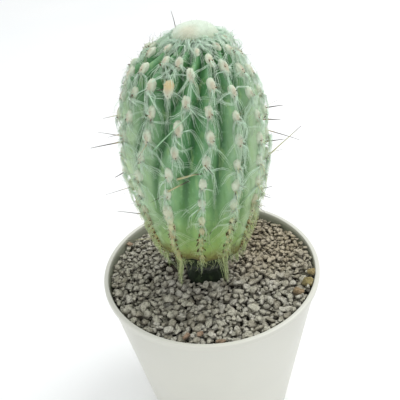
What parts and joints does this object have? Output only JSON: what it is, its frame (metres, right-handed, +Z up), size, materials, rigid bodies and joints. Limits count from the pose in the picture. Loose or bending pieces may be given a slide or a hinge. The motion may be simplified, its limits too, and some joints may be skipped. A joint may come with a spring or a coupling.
{
  "type": "potted cactus",
  "caption": "Upright ribbed eriosyce cactus with woolly areoles, long spines and a woolly crown, standing in grit in a tapered white plastic pot.",
  "frame": {"origin": "centre of the ring that the pot stands on, at the level of the surface", "axes": "+Z up along the pot's axis and the plant's height; -Y is the side that the picture shows; +X is to its right"},
  "size_m": [0.11, 0.11, 0.2274],
  "materials": {
    "pot_plastic": "smooth moulded white plastic",
    "grit_stone": "dry angular taupe grit",
    "cactus_skin": "living green cactus skin with a faint waxy bloom",
    "areole_wool": "felted cream-white plant wool"
  },
  "bodies": {
    "root": {"pot": "pot_plastic", "grit": "grit_stone", "cactus_stem": "cactus_skin", "crown_wool": "areole_wool"}
  },
  "joints": []
}
